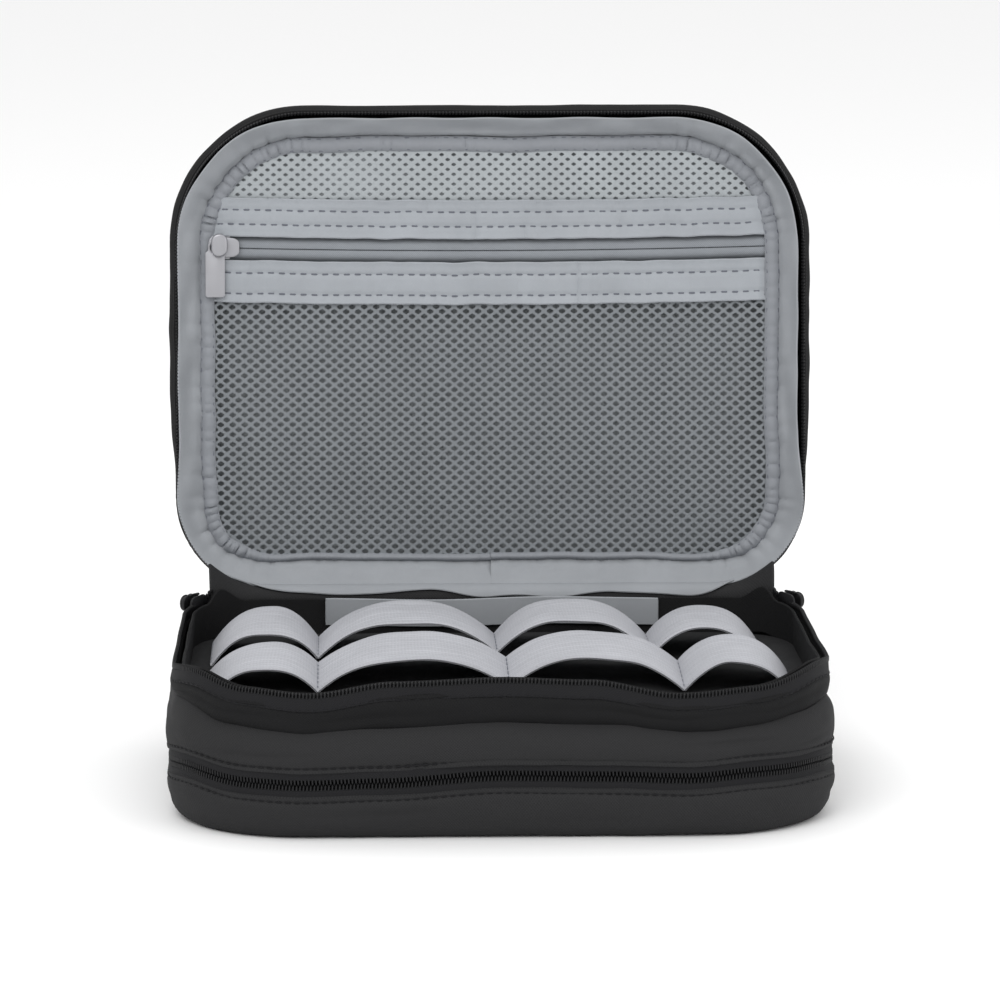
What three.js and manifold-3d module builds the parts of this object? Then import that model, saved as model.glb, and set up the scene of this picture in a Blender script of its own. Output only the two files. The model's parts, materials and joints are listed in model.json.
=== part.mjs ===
// Cable organizer pouch: a soft zip case with two compartments and a lid that stands open.
// The lower tray rests on the table. The upper tray, with its elastic loops, hinges on it at the back,
// and the lid, with its mesh pocket, hinges on the upper tray. Millimetres, +Z up, front towards -Y.
import * as THREE from "three";
import { mergeVertices } from "three/addons/utils/BufferGeometryUtils.js";
import Module from "manifold-3d";

const wasm = await Module();
wasm.setup();

// ---- Driving dimensions ----
const WIDTH = 246;
const DEPTH = 188;
const FRONT_RADIUS = 52;
const REAR_RADIUS = 38;
const LOWER_ZIP_Z = 20;
const SEAM_Z = 39; // where the divider is sewn in
const RIM_Z = 56; // where the main zip closes
const LID_DEPTH = 24;
const LID_LEAN = 6; // degrees past upright
const ZIP_END = 40; // both outer zips stop this many degrees round each rear corner, from the back
const CLOTH = 2.2; // padded wall
const FLOOR_CROWN = 6; // how far the divider bulges in its middle
const GAP = 0.3; // between pieces that touch
const STEP_DEGREES = 10; // of a round corner

const HALF_WIDTH = WIDTH / 2;
const HALF_DEPTH = DEPTH / 2;
const LOWER_HINGE_Y = HALF_DEPTH - 0.6;

// ---- Colours ----
const paint = (color, roughness, metalness = 0) =>
  new THREE.MeshStandardMaterial({ color, roughness, metalness });
const blackCloth = paint(0x303030, 0.85);
const blackTape = paint(0x222222, 0.8);
const blackCoil = paint(0x161616, 0.45);
const foam = paint(0x4a4a4c, 0.95);
const greyLining = paint(0x9a9ca0, 0.8);
const greyTape = paint(0x83868b, 0.75);
const greyElastic = paint(0xbcbec3, 0.8);
const greyMesh = paint(0xa9adb0, 0.7);
const silver = paint(0xb4b4b8, 0.35, 0.9);
const blackMetal = paint(0x1c1c1e, 0.4, 0.8);

// ---- Outlines ----
// Points along an arc, both ends included.
function arc(x, y, radius, fromDegrees, toDegrees) {
  const steps = Math.round(Math.abs(toDegrees - fromDegrees) / STEP_DEGREES);
  return Array.from({ length: steps + 1 }, (_, i) => {
    const angle = THREE.MathUtils.degToRad(
      THREE.MathUtils.lerp(fromDegrees, toDegrees, i / steps),
    );
    return new THREE.Vector2(x + radius * Math.cos(angle), y + radius * Math.sin(angle));
  });
}

// A rectangle with round corners, seen from above. It gives the points of a stretch of the edge, moved
// inwards by inset: "all" of it, the stretch that a "zip" runs along, or the "rear" stretch without one.
function roundedOutline({ halfWidth, front, rear, frontRadius, rearRadius }) {
  return (stretch, inset) => {
    const fx = halfWidth - frontRadius;
    const fy = front + frontRadius;
    const rx = halfWidth - rearRadius;
    const ry = rear - rearRadius;
    const fr = frontRadius - inset;
    const rr = rearRadius - inset;
    const frontArcs = [...arc(fx, fy, fr, 0, -90), ...arc(-fx, fy, fr, -90, -180)];
    const rearArcs = (from, to) => [
      ...arc(-rx, ry, rr, 180 - from, 180 - to),
      ...arc(rx, ry, rr, to, from),
    ];
    const end = 90 - ZIP_END;
    if (stretch === "rear") return rearArcs(end, 90);
    if (stretch === "zip")
      return [...arc(rx, ry, rr, end, 0), ...frontArcs, ...arc(-rx, ry, rr, 180, 180 - end)];
    return [...frontArcs, ...rearArcs(0, 90)];
  };
}

const trayOutline = roundedOutline({
  halfWidth: HALF_WIDTH,
  front: -HALF_DEPTH,
  rear: HALF_DEPTH,
  frontRadius: FRONT_RADIUS,
  rearRadius: REAR_RADIUS,
});
// The lid is drawn closed, with its hinge line as the origin and +Z towards its outer face.
const lidOutline = roundedOutline({
  halfWidth: HALF_WIDTH,
  front: -DEPTH,
  rear: 0,
  frontRadius: FRONT_RADIUS,
  rearRadius: REAR_RADIUS,
});
const POCKET_HALF_WIDTH = 112;
const POCKET_BOTTOM = 10; // from the hinge line
const POCKET_TOP = 176.5;
const pocketOutline = roundedOutline({
  halfWidth: POCKET_HALF_WIDTH,
  front: -POCKET_TOP,
  rear: -POCKET_BOTTOM,
  frontRadius: 41,
  rearRadius: 28,
});

// ---- Solids from rings of points ----
function closedGeometry(points, faces) {
  const volume = faces.reduce((sum, [a, b, c]) => {
    const cross = new THREE.Vector3().crossVectors(points[b], points[c]);
    return sum + points[a].dot(cross);
  }, 0);
  const outward = volume > 0 ? faces : faces.map(([a, b, c]) => [a, c, b]);
  const geometry = new THREE.BufferGeometry();
  geometry.setAttribute(
    "position",
    new THREE.Float32BufferAttribute(points.flatMap((p) => p.toArray()), 3),
  );
  geometry.setIndex(outward.flat());
  geometry.computeVertexNormals();
  return geometry;
}

// A profile carried along an outline. Each corner of the profile is [inset, height, outline].
function band(profile, outline, stretch = "all") {
  const columns = profile.map(([inset, height, own = outline]) =>
    own(stretch, inset).map((p) => new THREE.Vector3(p.x, p.y, height)),
  );
  const along = columns[0].length;
  const around = profile.length;
  const points = columns.flat();
  const at = (i, j) => (j % around) * along + (i % along);
  const steps = stretch === "all" ? along : along - 1;
  const faces = [];
  for (let i = 0; i < steps; i++)
    for (let j = 0; j < around; j++) {
      faces.push([at(i, j), at(i + 1, j), at(i + 1, j + 1)]);
      faces.push([at(i, j), at(i + 1, j + 1), at(i, j + 1)]);
    }
  if (stretch !== "all") {
    const flat = profile.map(([inset, height]) => new THREE.Vector2(inset, height));
    const winding = (corners) => Math.sign(THREE.ShapeUtils.area(corners));
    for (const found of THREE.ShapeUtils.triangulateShape(flat, [])) {
      const same = winding(found.map((k) => flat[k])) === winding(flat);
      const cap = same ? found : found.toReversed();
      faces.push(cap.map((k) => at(0, k)));
      faces.push(cap.toReversed().map((k) => at(along - 1, k)));
    }
  }
  return closedGeometry(points, faces);
}

// How far the divider stands up at a point, from its sewn edge.
const crownAt = (x, y) =>
  FLOOR_CROWN * (1 - (x / HALF_WIDTH) ** 2) * (1 - (y / HALF_DEPTH) ** 2);

// A plate whose edge runs through the sections [inset, height], from below to above.
function plate(sections, outline, lift = () => 0) {
  const shares = lift(0, 0) ? [0.8, 0.6, 0.4, 0.2] : [];
  const edge = (inset, height, share = 1) =>
    outline("all", inset).map((p) => new THREE.Vector3(p.x * share, p.y * share, height));
  const [lowInset, low] = sections[0];
  const [highInset, high] = sections.at(-1);
  const rings = [
    ...shares.toReversed().map((share) => edge(lowInset, low, share)),
    ...sections.map(([inset, height]) => edge(inset, height)),
    ...shares.map((share) => edge(highInset, high, share)),
  ];
  const middleY = outline("all", 0).reduce((sum, p, i, all) => sum + p.y / all.length, 0);
  const centre = shares.length ? 0 : middleY;
  const points = [
    ...rings.flat(),
    new THREE.Vector3(0, centre, low),
    new THREE.Vector3(0, centre, high),
  ];
  for (const p of points) p.z += lift(p.x, p.y);
  const along = rings[0].length;
  const last = rings.length - 1;
  const faces = [];
  for (let i = 0; i < along; i++) {
    const next = (i + 1) % along;
    for (let j = 0; j < last; j++) {
      const [a, b] = [j * along, (j + 1) * along];
      faces.push([a + i, a + next, b + next], [a + i, b + next, b + i]);
    }
    faces.push([next, i, points.length - 2]);
    faces.push([last * along + i, last * along + next, points.length - 1]);
  }
  return closedGeometry(points, faces);
}

// A strip of cloth: surface(u, v) gives its upper side, and it is thick along -Z.
function strip(stepsU, stepsV, thickness, surface) {
  const upper = [];
  for (let i = 0; i <= stepsU; i++)
    for (let j = 0; j <= stepsV; j++) upper.push(surface(i / stepsU, j / stepsV));
  const lower = upper.map((p) => new THREE.Vector3(p.x, p.y, p.z - thickness));
  const count = upper.length;
  const at = (i, j) => i * (stepsV + 1) + j;
  const faces = [];
  const quad = (a, b, c, d) => faces.push([a, b, c], [a, c, d]);
  for (let i = 0; i < stepsU; i++)
    for (let j = 0; j < stepsV; j++) {
      const corners = [at(i, j), at(i + 1, j), at(i + 1, j + 1), at(i, j + 1)];
      quad(...corners);
      quad(...corners.toReversed().map((k) => k + count));
    }
  const wall = (a, b) => quad(b, a, a + count, b + count);
  for (let i = 0; i < stepsU; i++) {
    wall(at(i, 0), at(i + 1, 0));
    wall(at(i + 1, stepsV), at(i, stepsV));
  }
  for (let j = 0; j < stepsV; j++) {
    wall(at(0, j + 1), at(0, j));
    wall(at(stepsU, j), at(stepsU, j + 1));
  }
  return closedGeometry([...upper, ...lower], faces);
}

// ---- Booleans ----
function toSolid(geometry) {
  const bare = geometry.index ? geometry.toNonIndexed() : geometry.clone();
  bare.deleteAttribute("normal");
  bare.deleteAttribute("uv");
  const merged = mergeVertices(bare, 1e-4);
  return new wasm.Manifold(
    new wasm.Mesh({
      numProp: 3,
      vertProperties: merged.attributes.position.array,
      triVerts: new Uint32Array(merged.index.array),
    }),
  );
}

function toGeometry(solid) {
  const mesh = solid.getMesh();
  const geometry = new THREE.BufferGeometry();
  geometry.setAttribute("position", new THREE.BufferAttribute(mesh.vertProperties, 3));
  geometry.setIndex(new THREE.BufferAttribute(mesh.triVerts, 1));
  geometry.computeVertexNormals();
  return geometry;
}

function block(fromX, toX, fromY, toY, fromZ, toZ) {
  return new THREE.BoxGeometry(toX - fromX, toY - fromY, toZ - fromZ).translate(
    (fromX + toX) / 2,
    (fromY + toY) / 2,
    (fromZ + toZ) / 2,
  );
}

// A flat shape with round corners, standing from z = 0 to z = thickness.
function roundedTab(width, length, radius, thickness) {
  const [x, y] = [width / 2, length / 2];
  const shape = new THREE.Shape();
  shape.moveTo(-x + radius, -y);
  shape.lineTo(x - radius, -y);
  shape.absarc(x - radius, -y + radius, radius, -Math.PI / 2, 0);
  shape.lineTo(x, y - radius);
  shape.absarc(x - radius, y - radius, radius, 0, Math.PI / 2);
  shape.lineTo(-x + radius, y);
  shape.absarc(-x + radius, y - radius, radius, Math.PI / 2, Math.PI);
  shape.lineTo(-x, -y + radius);
  shape.absarc(-x + radius, -y + radius, radius, Math.PI, 1.5 * Math.PI);
  return new THREE.ExtrudeGeometry(shape, {
    depth: thickness,
    bevelEnabled: false,
    curveSegments: 3,
  });
}

const uprightCylinder = (radius, height, sides = 16) =>
  new THREE.CylinderGeometry(radius, radius, height, sides)
    .rotateX(Math.PI / 2)
    .translate(0, 0, height / 2);

// ---- Assembly helpers ----
const pouch = new THREE.Group();
const lid = new THREE.Group();
lid.position.set(0, HALF_DEPTH, RIM_Z);
lid.rotation.x = -Math.PI / 2 - THREE.MathUtils.degToRad(LID_LEAN);
pouch.add(lid);

function add(parent, name, geometry, material) {
  const mesh = new THREE.Mesh(geometry, material);
  mesh.name = name;
  parent.add(mesh);
  return mesh;
}

// ---- Zips ----
// A zip half hangs from its meeting line at height z, towards -Z (side -1) or +Z (side 1).
const TAPE = { outer: 1.5, inner: 2.3, reach: 5.7 };
const COIL = { outer: 1.2, inner: 2.8, from: 0.5, to: 2.0 };
const GUARD = 4.5; // inset of the wall behind a zip
const GUARD_CLOTH = 1.6;

function zipHalf(parent, name, outline, z, side) {
  const tape = [
    [TAPE.outer, z + side * (COIL.to + GAP)],
    [TAPE.inner, z + side * (COIL.to + GAP)],
    [TAPE.inner, z + side * TAPE.reach],
    [TAPE.outer, z + side * TAPE.reach],
  ];
  const coil = [
    [COIL.outer, z + side * COIL.from],
    [COIL.inner, z + side * COIL.from],
    [COIL.inner, z + side * COIL.to],
    [COIL.outer, z + side * COIL.to],
  ];
  add(parent, `${name}_tape`, band(tape, outline, "zip"), blackTape);
  add(parent, `${name}_coil`, band(coil, outline, "zip"), blackCoil);
}

// The plain cloth that fills the same band behind the zip's ends, round the back.
const HINGE_CLEAR = 2.0; // it ends this far from the hinge line
function rearGusset(parent, name, outline, z, side) {
  const profile = [
    [TAPE.outer, z + side * HINGE_CLEAR],
    [GUARD - GAP, z + side * HINGE_CLEAR],
    [GUARD - GAP, z + side * TAPE.reach],
    [TAPE.outer, z + side * TAPE.reach],
  ];
  add(parent, name, band(profile, outline, "rear"), blackCloth);
}

// ---- Lower tray ----
function lowerTray() {
  add(
    pouch,
    "bottom_panel",
    plate([[12, 0], [10, 0.8], [10, 2.4]], trayOutline),
    blackCloth,
  );
  add(pouch, "bottom_foam", plate([[8.4, 2.7], [8.4, 4.7]], trayOutline), foam);
  add(pouch, "bottom_lining", plate([[6.2, 5.0], [6.2, 5.8]], trayOutline), blackTape);
  const top = LOWER_ZIP_Z - GAP;
  const tapeEdge = LOWER_ZIP_Z - TAPE.reach - GAP;
  const wall = [
    [9.7, 0.4],
    [5.6, 1.4],
    [2.6, 4],
    [1.0, 8],
    [0.6, 11],
    [1.2, tapeEdge],
    [GUARD, tapeEdge],
    [GUARD, top],
    [GUARD + GUARD_CLOTH, top],
    [GUARD + GUARD_CLOTH, 12],
    [3.0, 9],
    [5.0, 4.6],
    [7.0, 2.9],
    [9.7, 2.4],
  ];
  add(pouch, "lower_wall", band(wall, trayOutline), blackCloth);
  zipHalf(pouch, "lower_zip_bottom", trayOutline, LOWER_ZIP_Z, -1);
  rearGusset(pouch, "lower_hinge_gusset_bottom", trayOutline, LOWER_ZIP_Z, -1);
}

// A rolled seam on a hinge line, across the straight part of the back.
const SPINE_RADIUS = 1.3;
function spine(name, y, z, length) {
  const roll = new THREE.CylinderGeometry(SPINE_RADIUS, SPINE_RADIUS, length, 12);
  add(pouch, name, roll.rotateZ(Math.PI / 2).translate(0, y, z), blackCloth);
}

// ---- Upper tray ----
const DIVIDER_INSET = 7.2;
const FLOOR_Z = SEAM_Z + 2.4; // the divider's upper side at its edge

function upperTray() {
  const layer = (name, low, high, material) =>
    add(
      pouch,
      name,
      plate([[DIVIDER_INSET, low], [DIVIDER_INSET, high]], trayOutline, crownAt),
      material,
    );
  layer("divider_under_cloth", FLOOR_Z - 4.4, FLOOR_Z - 3.6, blackTape);
  layer("divider_foam", FLOOR_Z - 3.3, FLOOR_Z - 1.0, foam);
  layer("divider_top_cloth", FLOOR_Z - 0.7, FLOOR_Z, blackCloth);

  const tapeEdge = LOWER_ZIP_Z + TAPE.reach + GAP;
  const middle = [
    [GUARD, LOWER_ZIP_Z + GAP],
    [GUARD, tapeEdge],
    [1.2, tapeEdge],
    [0, 31],
    [1.2, 36.5],
    [3.0, SEAM_Z],
    [3.0 + CLOTH, SEAM_Z],
    [1.2 + CLOTH, 36.0],
    [CLOTH, 31],
    [GUARD + GUARD_CLOTH, tapeEdge + 1.6],
    [GUARD + GUARD_CLOTH, LOWER_ZIP_Z + GAP],
  ];
  add(pouch, "middle_wall", band(middle, trayOutline), blackCloth);

  const mainTapeEdge = RIM_Z - TAPE.reach - GAP;
  const upper = [
    [3.6, SEAM_Z + GAP],
    [2.8, 42],
    [1.8, mainTapeEdge - 2],
    [1.8, mainTapeEdge],
    [GUARD, mainTapeEdge],
    [GUARD, RIM_Z - 0.6],
    [GUARD + GUARD_CLOTH, RIM_Z - 0.6],
    [GUARD + GUARD_CLOTH, mainTapeEdge - 2],
    [2.8 + CLOTH, 42],
    [3.6 + CLOTH, SEAM_Z + GAP],
  ];
  add(pouch, "upper_wall", band(upper, trayOutline), blackCloth);

  zipHalf(pouch, "lower_zip_top", trayOutline, LOWER_ZIP_Z, 1);
  zipHalf(pouch, "main_zip_base", trayOutline, RIM_Z, -1);
  rearGusset(pouch, "lower_hinge_gusset_top", trayOutline, LOWER_ZIP_Z, 1);
  rearGusset(pouch, "hinge_gusset_base", trayOutline, RIM_Z, -1);
  add(
    pouch,
    "spine_lining",
    block(-64, 64, HALF_DEPTH - 7.9, HALF_DEPTH - 7.1, 46, RIM_Z - 0.8),
    greyLining,
  );
}

// ---- Elastic loops ----
// Each row is one elastic strip, tacked to the divider at the seams, so that it stands up in four loops.
const LOOP_CLOTH = 1.2;
const LOOP_ROUNDNESS = 2.4;
const LOOP_ROWS = [
  {
    name: "front",
    from: -48,
    to: 0,
    seams: [-107, -67, 3, 67, 107],
    peaks: [[55, 54], [59, 58], [59.5, 58.5], [57, 56]],
  },
  {
    name: "rear",
    from: 12,
    to: 60,
    seams: [-107, -67, 0, 58, 100],
    peaks: [[57, 56.5], [61.5, 59], [62, 60], [57.5, 57]],
  },
];

function elasticLoops() {
  for (const row of LOOP_ROWS)
    row.peaks.forEach(([frontPeak, rearPeak], k) => {
      const left = row.seams[k] + GAP / 2;
      const right = row.seams[k + 1] - GAP / 2;
      const middle = (left + right) / 2;
      const surface = (u, v) => {
        const x = THREE.MathUtils.lerp(left, right, u);
        const y = THREE.MathUtils.lerp(row.from, row.to, v);
        const tacked = FLOOR_Z + GAP + LOOP_CLOTH;
        const rise =
          THREE.MathUtils.lerp(frontPeak, rearPeak, v) - tacked - crownAt(middle, y);
        const arch = 1 - Math.abs(2 * u - 1) ** LOOP_ROUNDNESS;
        return new THREE.Vector3(x, y, tacked + crownAt(x, y) + rise * arch);
      };
      add(pouch, `elastic_loop_${row.name}_${k + 1}`, strip(10, 2, LOOP_CLOTH, surface), greyElastic);
    });
}

// ---- Lid ----
const POCKET_LEVEL = 9; // how deep the pocket's front lies below the rim
const BINDING_WIDTH = 5;
const POCKET_ZIP = 134.4; // from the hinge line to the middle of the pocket's zip
const FACINGS = { upper: [139.3, 153], lower: [114, 129.5] };
const SHEET = 0.8;
const FACING_HALF_WIDTH = POCKET_HALF_WIDTH - BINDING_WIDTH - GAP;

function lidShell() {
  add(
    lid,
    "lid_outer_panel",
    plate([[8.0, 21.2], [8.0, 22.2], [10, 23.4], [15, LID_DEPTH]], lidOutline),
    blackCloth,
  );
  add(lid, "lid_foam", plate([[8.0, 19.3], [8.0, 20.9]], lidOutline), foam);
  add(lid, "lid_lining", plate([[6.8, 18.2], [6.8, 19.0]], lidOutline), greyLining);
  const sewn = TAPE.reach + GAP;
  const wall = [
    [1.8, sewn],
    [1.0, 12],
    [1.8, 17],
    [3.8, 20.4],
    [7.7, 22.6],
    [7.7, 20.2],
    [5.6, 18.8],
    [4.0, 16.5],
    [3.2, 12],
    [4.0, sewn],
  ];
  add(lid, "lid_wall", band(wall, lidOutline), blackCloth);
  zipHalf(lid, "main_zip_lid", lidOutline, 0, 1);
  rearGusset(lid, "hinge_gusset_lid", lidOutline, 0, 1);
  const liningRing = [
    [GUARD, 0.9],
    [GUARD + 1, 0.9],
    [-GAP, POCKET_LEVEL, pocketOutline],
    [-GAP, POCKET_LEVEL + SHEET, pocketOutline],
    [GUARD, 2.4],
  ];
  add(lid, "lid_lining_ring", band(liningRing, lidOutline), greyLining);
}

function meshPocket() {
  const binding = [
    [0, POCKET_LEVEL],
    [BINDING_WIDTH, POCKET_LEVEL],
    [BINDING_WIDTH, POCKET_LEVEL + SHEET],
    [0, POCKET_LEVEL + SHEET],
  ];
  add(lid, "pocket_binding", band(binding, pocketOutline), greyLining);

  // A piece of the pocket's front, from one height above the hinge line to another.
  const inside = BINDING_WIDTH + GAP;
  const frontPiece = (name, bottom, top, proud, material) => {
    const whole = plate(
      [[inside, POCKET_LEVEL - proud], [inside, POCKET_LEVEL + SHEET]],
      pocketOutline,
    );
    const cut = block(-HALF_WIDTH, HALF_WIDTH, -top, -bottom, 0, LID_DEPTH);
    add(lid, name, toGeometry(toSolid(whole).intersect(toSolid(cut))), material);
  };
  frontPiece("mesh_upper", FACINGS.upper[1] + GAP, POCKET_TOP, 0, greyMesh);
  frontPiece("mesh_lower", 0, FACINGS.lower[0] - GAP, 0, greyMesh);
  frontPiece("zip_facing_upper", ...FACINGS.upper, 0.6, greyLining);
  frontPiece("zip_facing_lower", ...FACINGS.lower, 0.6, greyLining);

  const end = FACING_HALF_WIDTH - 1;
  const coilLow = POCKET_LEVEL;
  const tapeLow = POCKET_LEVEL + SHEET + GAP;
  for (const [side, sign] of [["upper", 1], ["lower", -1]]) {
    const across = (from, to) => [POCKET_ZIP + sign * from, POCKET_ZIP + sign * to];
    const strand = (part, [from, to], low, high) => {
      const geometry = block(-end, end, -Math.max(from, to), -Math.min(from, to), low, high);
      add(lid, `pocket_zip_${side}_${part}`, geometry, greyTape);
    };
    strand("tape", across(2.4, 8), tapeLow, tapeLow + 0.6);
    strand("coil", across(0.5, 2.1), coilLow, coilLow + 1.6);
  }
}

// ---- Sliders and their pulls ----
// Drawn with the zip along X, its chain at z = 0, and +Z away from the pouch.
const SLIDER = { width: 9, wing: 1.3, backWing: 0.9, chainHalf: 0.8, play: 0.6 };
const OUTER_SLIDER = { length: 10, pull: 19 };
const POCKET_SLIDER = { length: 12, pull: 22.5 };
const POST = { radius: 1.4, height: 1.8, capRadius: 3.2, capHeight: 1.1, fromEnd: 2.6 };
const PULL = { width: 7.6, thickness: 1.2, eye: 1.8, head: 3.2 };

function sliderGeometry(length, postX) {
  const wingLevel = SLIDER.chainHalf + SLIDER.play;
  const wing = (thickness) => roundedTab(length, SLIDER.width, 2.4, thickness);
  const upperWing = wing(SLIDER.wing).translate(0, 0, wingLevel);
  const lowerWing = wing(SLIDER.backWing).translate(0, 0, -wingLevel - SLIDER.backWing);
  const web = block(-1.5, 1.5, -0.2, 0.2, -wingLevel - 0.5, wingLevel + 0.5);
  const postLevel = wingLevel + SLIDER.wing;
  const post = uprightCylinder(POST.radius, POST.height + 0.8).translate(0, 0, -0.4);
  const cap = new THREE.CylinderGeometry(POST.capRadius - 1.2, POST.capRadius, POST.capHeight, 16)
    .rotateX(Math.PI / 2)
    .translate(0, 0, POST.height + POST.capHeight / 2);
  const stud = toSolid(post).add(toSolid(cap)).translate([postX, 0, postLevel]);
  return toGeometry(toSolid(upperWing).add(toSolid(lowerWing)).add(toSolid(web)).add(stud));
}

// The pull hangs towards -Y from the slider's post, and swings round it.
function pullGeometry(postX, length) {
  const tab = roundedTab(PULL.width, length, 1.6, PULL.thickness).translate(
    0,
    -length / 2 + PULL.head,
    0,
  );
  const eye = uprightCylinder(PULL.eye, 4).translate(0, 0, -1);
  const level = SLIDER.chainHalf + SLIDER.play + SLIDER.wing + (POST.height - PULL.thickness) / 2;
  return toGeometry(toSolid(tab).subtract(toSolid(eye)).translate([postX, 0, level]));
}

// matrix carries the slider's own axes to its zip, and postSide says which end its post is at.
function slider(name, parent, matrix, size, postSide, material) {
  const postX = postSide * (size.length / 2 - POST.fromEnd);
  add(parent, `${name}_slider`, sliderGeometry(size.length, postX), material).applyMatrix4(matrix);
  add(parent, `${name}_pull`, pullGeometry(postX, size.pull), material).applyMatrix4(matrix);
}

const chainInset = (COIL.outer + COIL.inner) / 2;
const PARKED = ZIP_END + 15; // degrees round a rear corner, just past the end of the zip
const POCKET_SLIDER_X = -103;

function sliders() {
  // At a rear corner the zip runs along X, the pull faces outwards and hangs towards -Z.
  const atCorner = (side, z) => {
    const angle = THREE.MathUtils.degToRad(PARKED);
    const outward = new THREE.Vector3(side * Math.sin(angle), Math.cos(angle), 0);
    const up = new THREE.Vector3(0, 0, 1);
    const along = new THREE.Vector3().crossVectors(up, outward);
    const centre = new THREE.Vector3(
      side * (HALF_WIDTH - REAR_RADIUS),
      HALF_DEPTH - REAR_RADIUS,
      z,
    );
    return new THREE.Matrix4()
      .makeBasis(along, up, outward)
      .setPosition(centre.addScaledVector(outward, REAR_RADIUS - chainInset));
  };
  slider("main_zip_left", pouch, atCorner(-1, RIM_Z), OUTER_SLIDER, -1, blackMetal);
  slider("main_zip_right", pouch, atCorner(1, RIM_Z), OUTER_SLIDER, 1, blackMetal);
  slider("lower_zip", pouch, atCorner(1, LOWER_ZIP_Z), OUTER_SLIDER, 1, blackMetal);
  // In the lid's own frame the pull faces -Z and hangs towards the hinge, which is +Y.
  const onPocket = new THREE.Matrix4().makeBasis(
    new THREE.Vector3(1, 0, 0),
    new THREE.Vector3(0, -1, 0),
    new THREE.Vector3(0, 0, -1),
  );
  onPocket.setPosition(POCKET_SLIDER_X, -POCKET_ZIP, POCKET_LEVEL + SLIDER.chainHalf);
  slider("pocket_zip", lid, onPocket, POCKET_SLIDER, -1, silver);
}

lowerTray();
spine("lower_spine", LOWER_HINGE_Y, LOWER_ZIP_Z, 150);
upperTray();
spine("lid_spine", HALF_DEPTH, RIM_Z, 150);
elasticLoops();
lidShell();
meshPocket();
sliders();

export default pouch;
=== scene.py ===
# The looks of the cable organizer pouch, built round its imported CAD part.
# Lengths are millimetres until a mesh is made. The tray and the lid have the same outline: s walks it from
# the middle of the rear edge, past -X, along the front and back past +X, and inset goes inwards from it.
import json
from math import atan2, cos, exp, pi, radians, sin, sqrt

import bmesh
import bpy
import numpy as np
from mathutils import Matrix, Vector, noise


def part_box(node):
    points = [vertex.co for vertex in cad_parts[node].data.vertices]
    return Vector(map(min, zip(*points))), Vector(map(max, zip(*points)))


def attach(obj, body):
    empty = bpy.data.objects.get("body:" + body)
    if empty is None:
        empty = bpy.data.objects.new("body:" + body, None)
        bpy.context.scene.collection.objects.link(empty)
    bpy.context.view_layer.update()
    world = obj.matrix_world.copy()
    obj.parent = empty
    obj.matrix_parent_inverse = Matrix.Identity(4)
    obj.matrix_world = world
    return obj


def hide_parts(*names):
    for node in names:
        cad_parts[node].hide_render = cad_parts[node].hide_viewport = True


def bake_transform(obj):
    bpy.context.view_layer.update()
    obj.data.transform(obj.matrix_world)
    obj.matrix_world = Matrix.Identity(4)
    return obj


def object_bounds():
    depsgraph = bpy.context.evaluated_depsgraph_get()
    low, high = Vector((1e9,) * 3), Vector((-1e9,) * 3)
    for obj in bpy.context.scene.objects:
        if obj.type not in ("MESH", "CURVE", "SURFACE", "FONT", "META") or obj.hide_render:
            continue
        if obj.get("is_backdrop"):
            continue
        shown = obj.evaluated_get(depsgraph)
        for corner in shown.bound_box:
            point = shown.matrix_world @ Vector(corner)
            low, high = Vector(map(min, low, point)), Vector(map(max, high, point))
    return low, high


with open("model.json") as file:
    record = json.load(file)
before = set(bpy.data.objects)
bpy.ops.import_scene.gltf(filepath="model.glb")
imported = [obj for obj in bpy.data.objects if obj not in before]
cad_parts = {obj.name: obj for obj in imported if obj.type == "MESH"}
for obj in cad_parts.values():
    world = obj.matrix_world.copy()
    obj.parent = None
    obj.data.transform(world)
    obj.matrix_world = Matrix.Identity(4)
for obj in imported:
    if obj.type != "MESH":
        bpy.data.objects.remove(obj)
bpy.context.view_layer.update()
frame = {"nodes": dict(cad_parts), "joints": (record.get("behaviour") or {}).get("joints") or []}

MM = 0.001

# ---- Driving dimensions ----
JOINTS = {joint["name"]: joint for joint in frame["joints"]}
HALF_WIDTH, HALF_DEPTH = (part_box("middle_wall")[1][k] / MM for k in (0, 1))
HINGE_Y, RIM_Z = (JOINTS["lid_hinge"]["pos_m"][k] / MM for k in (1, 2))
LOWER_HINGE_Y, LOWER_ZIP_Z = (JOINTS["lower_hinge"]["pos_m"][k] / MM for k in (1, 2))
LID_OPEN = radians(JOINTS["lid_hinge"]["range_deg"][1])
FRONT_RADIUS, REAR_RADIUS = 52, 38
SEAM_Z = 39  # between the middle wall and the upper wall
FLOOR_Z, FLOOR_CROWN = 41.4, 6  # the divider's edge, and how far its middle is above it
LID_HEIGHT = 2 * HALF_DEPTH
HINGE_HALF = 4.5  # half the height over which a hinge cloth bends
ZIP_END = 40  # degrees round each rear corner, from the back
PAST_ZIP = 1.5  # how far the hinge cloths go on past the zips' ends
TAPE_INSET, CHAIN_INSET = 1.9, 2.0
TOOTH_PITCH, POCKET_TOOTH_PITCH = 1.3, 1.2
STITCH_PITCH = 3.3


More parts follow.
